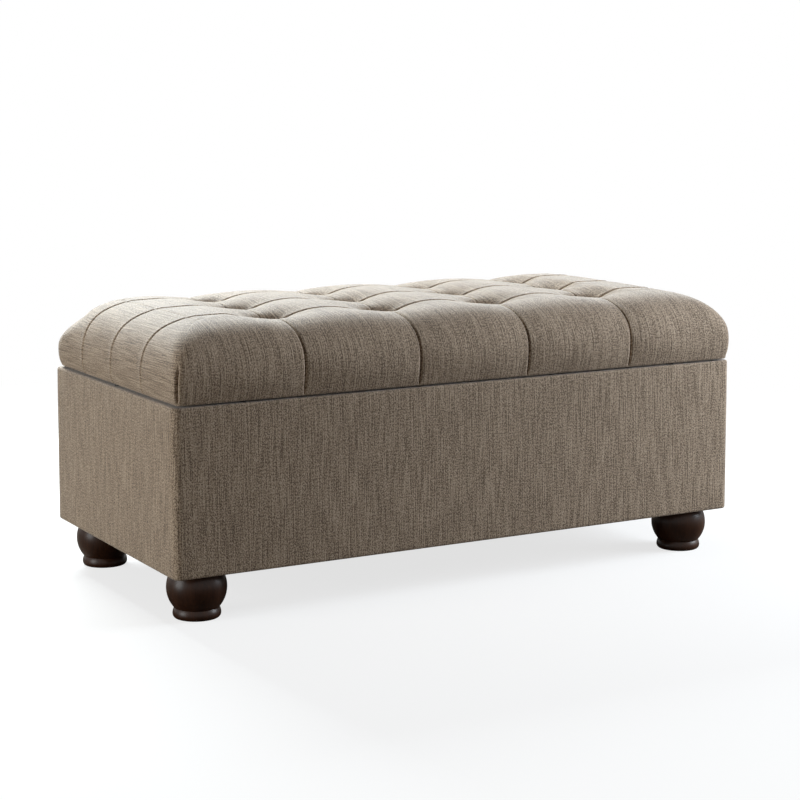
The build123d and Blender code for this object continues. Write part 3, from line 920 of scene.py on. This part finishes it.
    @staticmethod
    def swell(distance: float, half_pitch: float, base: float) -> float:
        """How full a pillow is at a distance from its pleat, from the pleat's base to 1."""
        return 1.0 - (1.0 - base) * (1.0 - min(abs(distance) / half_pitch, 1.0)) ** 3

    def fullness(self, point: Vector, normal: Vector) -> float:
        """How full the pillows are: they get flatter towards the ends.

        Args:
            point: A point of the pad.
            normal: The way it faces.

        Returns:
            The fullness as a share.
        """
        towards_end = smooth_step((abs(point.x) - self.steady_x) / (self.half_x - self.steady_x))
        side = 1.0 - (1.0 - self.end_share) * abs(normal.x)
        return side * (1.0 - self.end_flatness * towards_end)

    def shape_pillows(self, bm: bmesh.types.BMesh) -> None:
        """Raise the pillows between the pleats and sink the tufts.

        Args:
            bm: The blank pad.
        """
        level = bm.verts.layers.int["level"]
        last_side = self.shoulder_steps + self.side_steps
        half_x = (self.tuft_x[1] - self.tuft_x[0]) / 2
        half_y = (self.tuft_y[1] - self.tuft_y[0]) / 2
        bm.normal_update()
        steps = []
        for vertex in bm.verts:
            if vertex[level] > last_side:
                continue
            across, along = self.pleat_distance(vertex.co)
            rise = self.pillow_rise * self.swell(across, half_x, self.column_base)
            rise *= self.swell(along, half_y, self.row_base)
            fade = smooth_step((last_side - vertex[level]) / self.side_steps)
            step = vertex.normal * rise * (self.hem_fullness + (1 - self.hem_fullness) * fade)
            step *= self.fullness(vertex.co, vertex.normal)
            if vertex.co.z > self.rim + self.long_sides.widest_height:
                reach = math.hypot(across / self.tuft_width, along / self.tuft_reach)
                step.z -= self.tuft_depth * math.exp(-(reach**self.tuft_power))
            steps.append((vertex, step))
        for vertex, step in steps:
            vertex.co += step

    def held(self, bm: bmesh.types.BMesh) -> list[int]:
        """Find what stays in place while the pad swells: column pleats, tufts and hem.

        Args:
            bm: The pad with its pillows.

        Returns:
            The numbers of the held vertices.
        """
        level = bm.verts.layers.int["level"]
        last_side = self.shoulder_steps + self.side_steps
        grip = self.fine_steps[2] + 0.1 * MILLIMETRE
        still = []
        for vertex in bm.verts:
            across, along = self.pleat_distance(vertex.co)
            near_tuft = math.hypot(across, along) < self.tuft_reach
            if abs(across) < grip or near_tuft or vertex[level] >= last_side - 1:
                still.append(vertex.index)
        return still

    def swell_cloth(self, piece: bpy.types.Object, still: list[int]) -> None:
        """Blow the pillows up as cloth, with the pleats held, and keep the result.

        Args:
            piece: The pad.
            still: The vertices that are held.
        """
        scene = bpy.context.scene
        group = piece.vertex_groups.new(name="held")
        group.add(still, 1.0, "REPLACE")
        cloth = piece.modifiers.new("swell", "CLOTH")
        self.cloth.set_up(cloth, group.name)
        for number in range(1, self.cloth.frames + 1):
            scene.frame_set(number)
        swollen = piece.evaluated_get(bpy.context.evaluated_depsgraph_get())
        targets = [vertex.co.copy() for vertex in swollen.data.vertices]
        piece.modifiers.remove(cloth)
        piece.vertex_groups.remove(group)
        furthest = 0.0
        for vertex, target in zip(piece.data.vertices, targets):
            step = (target - vertex.co) * self.fullness(vertex.co, vertex.normal)
            furthest = max(furthest, step.length)
            if step.length > self.swell_cap:
                step *= self.swell_cap / step.length
            vertex.co += step
        scene.frame_set(1)
        log.info("pad swelled by up to %.1f mm", furthest / MILLIMETRE)

    def crease(self, distance: float) -> float:
        """Depth of a stitched crease at a distance from its line, as a share."""
        return max(0.0, 1.0 - abs(distance) / self.crease_half_width) ** 1.5

    def fold(self, distance: float) -> float:
        """Rise of the fold beside a crease, as a share."""
        return math.exp(-(((distance + self.fold_offset) / self.fold_offset) ** 2) * 1.6)

    def stitch(self, piece: bpy.types.Object) -> None:
        """Press the pleats and the corner seams in, with a fold along one side of each pleat.

        Args:
            piece: The swollen pad.
        """
        mesh = piece.data
        spots = mesh.attributes["spot"].data
        bottom = self.rim + self.long_sides.hem_height
        steps = []
        for vertex, spot in zip(mesh.vertices, spots):
            across, along = self.pleat_distance(vertex.co)
            if vertex.co.z < bottom - 0.1 * MILLIMETRE:
                steps.append(Vector())
                continue
            row_share = self.row_share * (1.0 - self.row_end_loss * abs(vertex.normal.x))
            if vertex.normal.z > 0.5:
                row_share += self.slit_share * math.exp(-((across / self.slit_reach) ** 2))
            deep = max(self.crease(across), row_share * self.crease(along))
            if vertex.co.z > self.rim + self.ends.widest_height:
                deep *= smooth_step(math.hypot(across, along) / (0.5 * self.tuft_reach))
            deep = max(deep, self.seam(spot.vector, vertex.co.z - self.rim))
            rise = max(self.fold(across), self.fold(-along))
            steps.append(vertex.normal * (self.fold_rise * rise - self.crease_depth * deep))
        for vertex, step in zip(mesh.vertices, steps):
            vertex.co += step

    def seam(self, spot: Vector, height: float) -> float:
        """Depth of the upright seam at a corner of the lid, as a share.

        Args:
            spot: The place on the crown's grid.
            height: The height above the rim.

        Returns:
            The share, which fades out at the top of the seam.
        """
        spread_x = (self.half_x - self.steady_x) / (self.top_x - self.steady_x)
        spread_y = (self.half_y - self.steady_y) / (self.top_y - self.steady_y)
        away = max((self.top_x - abs(spot.x)) * spread_x, (self.top_y - abs(spot.y)) * spread_y)
        fade = smooth_step((self.seam_top - height) / self.seam_fade)
        return self.seam_share * fade * self.crease(self.seam_narrowing * away)

    def build(self) -> bpy.types.Object:
        """Make the pad and put it in place of the plain foam and cover.

        Returns:
            The pad.
        """
        self.make_rings()
        bm = self.blank()
        self.map_weave(bm)
        self.shape_pillows(bm)
        bm.verts.index_update()
        still = self.held(bm)
        pad = add_piece(bm, "lid_pad", self.linen)
        self.swell_cloth(pad, still)
        self.stitch(pad)
        refine(pad)
        hand_over(pad, Body.LID, Slot.LINEN, "lid_cover", "lid_foam")
        return pad


@dataclass
class BoxCover:
    """The linen wrapped round the box, folded over the rim and under the bottom edge."""

    linen: bpy.types.Material
    corner: float = 12 * MILLIMETRE
    corner_segments: int = 6
    edge_round: float = 4 * MILLIMETRE
    cell: float = 18 * MILLIMETRE
    padding_rise: float = 1.4 * MILLIMETRE
    ripple: float = 0.35 * MILLIMETRE
    ripple_cells: float = 9.0
    hem_pucker: float = 0.6 * MILLIMETRE
    pucker_cells: float = 38.0
    pucker_start: Triple = (3.0, 7.0, 1.0)
    pucker_reach: float = 45 * MILLIMETRE
    hem_width: float = 30 * MILLIMETRE
    post_leg: float = 41 * MILLIMETRE
    roll_angles: tuple[float, ...] = (22.5, 45.0, 67.5, 90.0)
    thickness: float = 1.2 * MILLIMETRE
    low: Vector = field(init=False)
    high: Vector = field(init=False)
    rim_width: float = field(init=False)

    def __post_init__(self) -> None:
        """Take the box from the frame."""
        self.low, self.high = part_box("box_cover")
        self.rim_width = self.high.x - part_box("storage_lining")[1].x

    def walls(self) -> bmesh.types.BMesh:
        """The four walls with round corners, cut into even cells.

        Returns:
            The walls, open above and below.
        """
        bm = bmesh.new()
        bmesh.ops.create_cube(bm, size=1.0)
        size = self.high - self.low
        height = size.z - 2 * self.edge_round
        bmesh.ops.scale(bm, vec=(size.x, size.y, height), verts=bm.verts)
        bmesh.ops.translate(bm, vec=(0.0, 0.0, self.low.z + size.z / 2), verts=bm.verts)
        corners = upright_edges(bm, height)
        segments = self.corner_segments
        bmesh.ops.bevel(bm, geom=corners, offset=self.corner, segments=segments, **ROUND_EDGES)
        ends = [face for face in bm.faces if abs(face.normal.z) > 0.9]
        bmesh.ops.delete(bm, geom=ends, context="FACES_ONLY")
        for axis, reach in enumerate((size.x / 2 - self.corner, size.y / 2 - self.corner)):
            count = round(2 * reach / self.cell)
            for index in range(1, count):
                self.cut(bm, axis, reach * (2 * index / count - 1))
        count = round(height / self.cell)
        for index in range(1, count):
            self.cut(bm, 2, self.low.z + self.edge_round + height * index / count)
        return bm

    @staticmethod
    def cut(bm: bmesh.types.BMesh, axis: int, place: float) -> None:
        """Cut all faces with a plane.

        Args:
            bm: The walls.
            axis: The number of the axis that the plane is square to.
            place: Where it lies along that axis.
        """
        normal = Vector((0.0, 0.0, 0.0))
        normal[axis] = 1.0
        geom = [*bm.verts, *bm.edges, *bm.faces]
        bmesh.ops.bisect_plane(bm, geom=geom, dist=1e-6, plane_co=normal * place, plane_no=normal)

    def turn_edge(self, bm: bmesh.types.BMesh, upper: bool) -> None:
        """Roll one edge of the walls over and lead the cloth inwards.

        Args:
            bm: The walls.
            upper: True for the rim, False for the bottom edge.
        """
        sign = 1.0 if upper else -1.0
        level = self.high.z if upper else self.low.z
        start = level - sign * self.edge_round
        last_inset = 0.0
        for turn in (math.radians(angle) for angle in self.roll_angles):
            inset = self.edge_round * (1 - math.cos(turn))
            for vertex in self.grow(bm, upper):
                vertex.co = self.drawn_in(vertex.co, inset - last_inset)
                vertex.co.z = start + sign * self.edge_round * math.sin(turn)
            last_inset = inset
        for share in (0.5, 1.0):
            for vertex in self.grow(bm, upper):
                vertex.co = vertex.co.lerp(self.inner_place(vertex.co, upper), share)

    def grow(self, bm: bmesh.types.BMesh, upper: bool) -> list[bmesh.types.BMVert]:
        """Extrude the open upper or lower edge.

        Args:
            bm: The walls.
            upper: True for the upper edge.

        Returns:
            The new vertices, still in the place of the old ones.
        """
        middle = (self.low.z + self.high.z) / 2
        open_edges = [edge for edge in bm.edges if edge.is_boundary]
        edges = [edge for edge in open_edges if (edge.verts[0].co.z > middle) == upper]
        grown = bmesh.ops.extrude_edge_only(bm, edges=edges)["geom"]
        return [item for item in grown if isinstance(item, bmesh.types.BMVert)]

    def drawn_in(self, point: Vector, step: float) -> Vector:
        """Move a point of the round outline inwards, square to it.

        Args:
            point: The point.
            step: How far it moves.

        Returns:
            Its new place.
        """
        half = (self.high - self.low) / 2
        across = max(abs(point.x) - half.x + self.corner, 0.0)
        along = max(abs(point.y) - half.y + self.corner, 0.0)
        away = Vector((math.copysign(across, point.x), math.copysign(along, point.y), 0.0))
        return point - away.normalized() * step

    def inner_place(self, point: Vector, upper: bool) -> Vector:
        """Where the turned cloth ends, level with a point: its corners are cut slantwise.

        Args:
            point: A point on the outer edge.
            upper: True for the rim, which covers the corner posts, False for the hem.

        Returns:
            The point's partner on the inner edge.
        """
        width = self.rim_width if upper else self.hem_width
        leg = self.post_leg if upper else self.hem_width
        wide = self.high.x - width
        deep = self.high.y - width
        across = max(abs(point.x) - wide + leg, 0.0)
        along = max(abs(point.y) - deep + leg, 0.0)
        x, y = min(abs(point.x), wide), min(abs(point.y), deep)
        if across > 0.0 and along > 0.0:
            share = across / (across + along)
            x, y = wide - leg + leg * share, deep - leg * share
        return Vector((math.copysign(x, point.x), math.copysign(y, point.y), point.z))

    def soften(self, bm: bmesh.types.BMesh) -> None:
        """Pad the walls out a little and let the cloth ripple, most along the bottom hem.

        Args:
            bm: The cover.
        """
        bm.normal_update()
        half = (self.high - self.low) / 2
        middle = (self.high + self.low) / 2
        steps = []
        for vertex in bm.verts:
            if abs(vertex.normal.z) > 0.5:
                continue
            across = vertex.co.x / half.x if abs(vertex.normal.y) > 0.7 else vertex.co.y / half.y
            up = (vertex.co.z - middle.z) / half.z
            padding = self.padding_rise * (1 - across**4) * (1 - up**4)
            waves = self.ripple * noise.noise(vertex.co * self.ripple_cells)
            near_hem = smooth_step(1 - (vertex.co.z - self.low.z) / self.pucker_reach)
            puckered = noise.noise(vertex.co * self.pucker_cells + Vector(self.pucker_start))
            pucker = self.hem_pucker * near_hem * puckered
            steps.append((vertex, vertex.normal * (padding + waves + pucker)))
        for vertex, step in steps:
            vertex.co += step

    def map_weave(self, bm: bmesh.types.BMesh) -> None:
        """Lay the cloth flat round the box, with its thick threads upright.

        Args:
            bm: The cover.
        """
        weave = bm.loops.layers.uv.new(WEAVE_MAP)
        half = (self.high - self.low) / 2
        for face in bm.faces:
            normal = face.normal
            centre = face.calc_center_median()
            flat = abs(normal.z) > 0.7
            if flat:
                end_face = half.x - abs(centre.x) < half.y - abs(centre.y)
            else:
                end_face = abs(normal.x) > abs(normal.y)
            for loop in face.loops:
                point = loop.vert.co
                if end_face:
                    along = point.y + 2 * half.x + half.y
                    out = half.x - abs(point.x)
                else:
                    along, out = point.x, half.y - abs(point.y)
                turned = math.copysign(out, centre.z - half.z) if flat else 0.0
                loop[weave].uv = (along, point.z + turned)

    def build(self) -> bpy.types.Object:
        """Make the cover and put it in place of the plain one and its wadding.

        Returns:
            The cover.
        """
        bm = self.walls()
        self.turn_edge(bm, True)
        self.turn_edge(bm, False)
        bmesh.ops.recalc_face_normals(bm, faces=bm.faces)
        self.map_weave(bm)
        self.soften(bm)
        cover = add_piece(bm, "box_wrap", self.linen)
        refine(cover)
        thicken(cover, self.thickness, -1.0)
        hand_over(cover, Body.BASE, Slot.LINEN, "box_cover", "box_padding")
        return cover


@dataclass
class Linings:
    """The cloth inside the storage space, under the lid and under the box."""

    lining: bpy.types.Material
    dust_cloth: bpy.types.Material
    post_leg: float = 41 * MILLIMETRE
    thickness: float = 0.7 * MILLIMETRE
    floor_round: float = 5 * MILLIMETRE
    slack: float = 0.4 * MILLIMETRE
    slack_reach: float = 60 * MILLIMETRE
    slack_cells: float = 7.0
    cells: tuple[int, int] = (60, 28)

    def storage(self) -> bpy.types.Object:
        """Line the storage space, slantwise across the corner posts.

        Returns:
            The lining.
        """
        low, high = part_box("storage_lining")
        size = high - low
        bm = bmesh.new()
        bmesh.ops.create_cube(bm, size=1.0)
        bmesh.ops.scale(bm, vec=size, verts=bm.verts)
        bmesh.ops.translate(bm, vec=(low + high) / 2, verts=bm.verts)
        upright = upright_edges(bm, size.z)
        bmesh.ops.bevel(bm, geom=upright, offset=self.post_leg, segments=1, **ROUND_EDGES)
        top = [face for face in bm.faces if face.normal.z > 0.9]
        bmesh.ops.delete(bm, geom=top, context="FACES_ONLY")
        corners = [edge for edge in bm.edges if not edge.is_boundary]
        bmesh.ops.bevel(bm, geom=corners, offset=self.floor_round, segments=3, **ROUND_EDGES)
        bmesh.ops.reverse_faces(bm, faces=bm.faces)
        piece = add_piece(bm, "storage_cloth", self.lining)
        thicken(piece, self.thickness, 1.0)
        hand_over(piece, Body.BASE, Slot.LINING, "storage_lining")
        return piece

    def panel(self, node: str, name: str, body: Body, slot: Slot) -> bpy.types.Object:
        """A flat cloth stapled along its edges.

        Args:
            node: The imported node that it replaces.
            name: The piece's name.
            body: The body that carries it.
            slot: Its material slot.

        Returns:
            The cloth.
        """
        low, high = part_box(node)
        size = high - low
        finish = self.lining if slot is Slot.LINING else self.dust_cloth
        bm = bmesh.new()
        columns, rows = self.cells
        bmesh.ops.create_grid(bm, x_segments=columns, y_segments=rows, size=0.5)
        bmesh.ops.scale(bm, vec=(size.x, size.y, 1.0), verts=bm.verts)
        for vertex in bm.verts:
            edge = min(size.x / 2 - abs(vertex.co.x), size.y / 2 - abs(vertex.co.y))
            ease = smooth_step(edge / self.slack_reach)
            sag = 1 + noise.noise(vertex.co * self.slack_cells)
            vertex.co.z = low.z - self.slack * ease * sag
        bmesh.ops.reverse_faces(bm, faces=bm.faces)
        piece = add_piece(bm, name, finish)
        thicken(piece, self.thickness, -1.0)
        hand_over(piece, body, slot, node)
        return piece

    def build(self) -> None:
        """Make all the linings."""
        self.storage()
        self.panel("lid_lining", "lid_under_cloth", Body.LID, Slot.LINING)
        self.panel("dust_cover", "dust_cloth", Body.BASE, Slot.DUST_CLOTH)


@dataclass
class Hardware:
    """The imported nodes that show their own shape: feet, boards, hinges, stays and fasteners."""

    finishes: dict[Slot, bpy.types.Material]

    def dress(self) -> None:
        """Give each node the finish of its slot."""
        for name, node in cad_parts.items():
            slot = Slot(node.data.materials[0].name.split(".")[0])
            finish = self.finishes.get(slot)
            if finish is not None and not node.hide_render:
                node.data.materials[0] = finish
                log.info("%s dressed as %s", name, slot.value)


@dataclass(frozen=True)
class Lamp:
    """A soft box that the camera doesn't see."""

    name: str
    place: Triple
    aim: Triple
    size: tuple[float, float]
    watts: float
    tint: Colour

    def hang(self) -> None:
        """Put the lamp in its place."""
        light = bpy.data.lights.new(self.name, "AREA")
        light.shape = "RECTANGLE"
        light.size, light.size_y = self.size
        light.energy = self.watts
        light.color = self.tint
        lamp = bpy.data.objects.new(self.name, light)
        lamp.location = self.place
        lamp.visible_camera = False
        facing = Vector(self.aim) - Vector(self.place)
        lamp.rotation_euler = facing.to_track_quat("-Z", "Y").to_euler()
        bpy.context.scene.collection.objects.link(lamp)


@dataclass
class Studio:
    """A plain white room, soft lamps and the camera."""

    lens: float = 90.27
    eye: Triple = (-1.6822, -2.9751, 0.8293)
    turn: float = -29.592
    tilt: float = 5.844
    rise: float = -0.15
    floor_reach: float = 14.0
    floor_bounce: Colour = (0.22, 0.195, 0.17)
    floor_shade: Colour = (0.30, 0.30, 0.30)
    floor_glow: float = 0.74
    clear_reach: tuple[float, float] = (1.0, 2.2)
    sky: float = 0.16
    sky_tint: Colour = (1.0, 0.95, 0.90)
    lamps: tuple[Lamp, ...] = (
        Lamp("key", (-0.2, 1.75, 1.4), (0.0, 0.0, 0.4), (0.9, 0.8), 97.0, (0.91, 0.985, 1.0)),
        Lamp("fill", (1.9, -0.85, 0.95), (0.3, 0.0, 0.25), (1.0, 1.0), 50.0, (0.90, 0.98, 1.06)),
        Lamp("side", (-2.6, 0.0, 0.5), (-0.5, 0.0, 0.25), (1.0, 1.0), 26.0, (0.97, 1.0, 1.0)),
    )

    def floor(self) -> bpy.types.Object:
        """Lay a pale floor that keeps a soft shadow and meets the white background.

        Returns:
            The floor.
        """
        bm = bmesh.new()
        bmesh.ops.create_grid(bm, x_segments=1, y_segments=1, size=self.floor_reach)
        bench = ShaderBench("pale_floor")
        bench.feed("Base Color", (*self.floor_bounce, 1.0))
        bench.feed("Roughness", 1.0)
        bench.feed("Specular IOR Level", 0.0)
        white = (1.0, 1.0, 1.0, 1.0)
        seen = bench.add("ShaderNodeLightPath", {}).outputs["Is Camera Ray"]
        pale = bench.add("ShaderNodeBsdfDiffuse", {"Color": (*self.floor_shade, 1.0)})
        clear = bench.add("ShaderNodeEmission", {"Color": white, "Strength": 1.0})
        glow = bench.add("ShaderNodeEmission", {"Color": white, "Strength": self.floor_glow})
        lit = bench.add("ShaderNodeAddShader", {0: pale.outputs[0], 1: glow.outputs[0]})
        place = bench.object_place()
        away = bench.add("ShaderNodeVectorMath", {0: place}, operation="LENGTH").outputs["Value"]
        near, far = self.clear_reach
        inputs = {"Value": away, "From Min": near, "From Max": far}
        share = bench.add("ShaderNodeMapRange", inputs, interpolation_type="SMOOTHSTEP").outputs[0]
        shown = bench.add("ShaderNodeMixShader", {0: share, 1: lit.outputs[0], 2: clear.outputs[0]})
        inputs = {0: seen, 1: bench.shader.outputs[0], 2: shown.outputs[0]}
        mixed = bench.add("ShaderNodeMixShader", inputs)
        output = bench.tree.nodes["Material Output"]
        bench.tree.links.new(mixed.outputs[0], output.inputs["Surface"])
        floor = add_piece(bm, "floor", bench.material)
        return floor

    def world(self) -> None:
        """White where the camera or a gloss looks, soft grey as light."""
        world = bpy.data.worlds.new("white_room")
        bpy.context.scene.world = world
        world.use_nodes = True
        tree = world.node_tree
        back = tree.nodes["Background"]
        path = tree.nodes.new("ShaderNodeLightPath")
        seen = path.outputs["Is Camera Ray"]
        for name in ("Is Glossy Ray", "Is Transmission Ray"):
            both = tree.nodes.new("ShaderNodeMath")
            both.operation = "MAXIMUM"
            tree.links.new(seen, both.inputs[0])
            tree.links.new(path.outputs[name], both.inputs[1])
            seen = both.outputs[0]
        colour = tree.nodes.new("ShaderNodeMix")
        colour.data_type = "RGBA"
        tree.links.new(seen, colour.inputs["Factor"])
        dim = [self.sky * part for part in self.sky_tint]
        for socket, value in zip(colour.inputs[6:8], (dim, (1.0, 1.0, 1.0))):
            socket.default_value = (*value, 1.0)
        tree.links.new(colour.outputs[2], back.inputs["Color"])

    def camera(self) -> None:
        """The photograph's view."""
        view = bpy.data.cameras.new("camera")
        view.lens = self.lens
        view.shift_y = self.rise
        camera = bpy.data.objects.new("camera", view)
        camera.location = self.eye
        camera.rotation_euler = (math.radians(90.0 - self.tilt), 0.0, math.radians(self.turn))
        bpy.context.scene.collection.objects.link(camera)
        bpy.context.scene.camera = camera

    def build(self) -> None:
        """Set the whole studio up."""
        self.floor()
        self.world()
        for lamp in self.lamps:
            lamp.hang()
            log.info("%s lamp: %.0f W", lamp.name, lamp.watts)
        self.camera()
        bpy.context.scene.view_settings.view_transform = "Standard"


def main() -> None:
    """Build the bench piece by piece."""
    logging.basicConfig(level=logging.INFO, format="%(name)s: %(message)s")
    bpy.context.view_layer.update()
    linen = Linen().material()
    lining = FeltedCloth("storage_felt", (0.090, 0.078, 0.066), (0.190, 0.168, 0.145)).material()
    dust_cloth = FeltedCloth("black_felt", (0.012, 0.012, 0.012), (0.045, 0.044, 0.043)).material()
    steel = PlatedSteel("zinc_plate", (0.42, 0.43, 0.45), (0.68, 0.69, 0.70), 0.34).material()
    brown_steel = PlatedSteel("bronzed_steel", (0.20, 0.17, 0.14), (0.36, 0.31, 0.26), 0.38).material()
    black = (0.012, 0.012, 0.012)
    rubber = MouldedCompound("bumper_rubber", black, (0.04, 0.04, 0.04), 0.6).material()
    smoke = (0.02, 0.02, 0.022)
    plastic = MouldedCompound("stay_plastic", smoke, (0.055, 0.055, 0.058), 0.42).material()
    SeatPad(linen).build()
    BoxCover(linen).build()
    Linings(lining, dust_cloth).build()
    Hardware(
        {
            Slot.BOARD: PressedBoard().material(),
            Slot.TURNED_WOOD: TurnedWood().material(),
            Slot.ZINC_STEEL: steel,
            Slot.HINGE_STEEL: brown_steel,
            Slot.STAY_STEEL: steel,
            Slot.PIVOT_STEEL: steel,
            Slot.BUMPER_RUBBER: rubber,
            Slot.STAY_PLASTIC: plastic,
            Slot.TWINE: TwistedTwine().material(),
        }
    ).dress()
    Studio().build()


if __name__ == "__main__":
    main()
